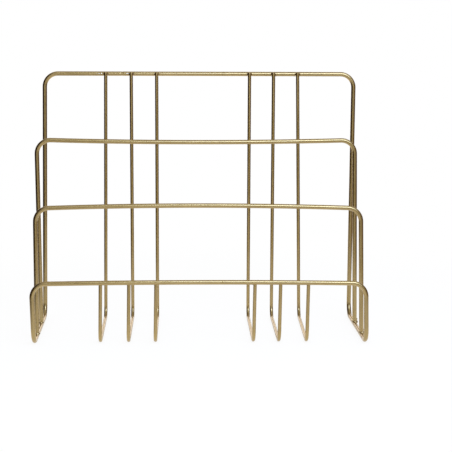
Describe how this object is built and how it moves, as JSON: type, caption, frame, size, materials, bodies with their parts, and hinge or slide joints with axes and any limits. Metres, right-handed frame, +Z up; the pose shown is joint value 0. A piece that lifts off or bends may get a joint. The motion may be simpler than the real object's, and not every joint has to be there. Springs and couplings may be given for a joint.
{
  "type": "desk letter rack",
  "caption": "Free-standing wire letter rack: stepped hoops on floor runners, crossed by thinner U-shaped rods, with open slots for letters.",
  "frame": {"origin": "on the floor plane, at the middle of the rack's width and depth", "axes": "+X along the rails to the right, +Y from the low front hoop to the tall back hoop, +Z up"},
  "size_m": [0.2527, 0.1, 0.198],
  "materials": {
    "frame_wire": "satin brass finish on drawn wire, lightly lacquered",
    "rod_wire": "satin brass finish on thinner drawn wire",
    "weld": "small plated welds, a little darker from the heat"
  },
  "bodies": {
    "root": {"outer_frame": "frame_wire", "third_hoop": "frame_wire", "second_hoop": "frame_wire", "left_rod_1": "rod_wire", "left_rod_2": "rod_wire", "left_rod_3": "rod_wire", "right_rod_1": "rod_wire", "right_rod_2": "rod_wire", "right_rod_3": "rod_wire", "weld_left_rod_1_back": "weld", "weld_left_rod_1_front": "weld", "weld_left_rod_2_back": "weld", "weld_left_rod_2_front": "weld", "weld_left_rod_3_back": "weld", "weld_left_rod_3_front": "weld", "weld_right_rod_1_back": "weld", "weld_right_rod_1_front": "weld", "weld_right_rod_2_back": "weld", "weld_right_rod_2_front": "weld", "weld_right_rod_3_back": "weld", "weld_right_rod_3_front": "weld", "weld_third_hoop_left": "weld", "weld_third_hoop_right": "weld", "weld_second_hoop_left": "weld", "weld_second_hoop_right": "weld"}
  },
  "joints": []
}
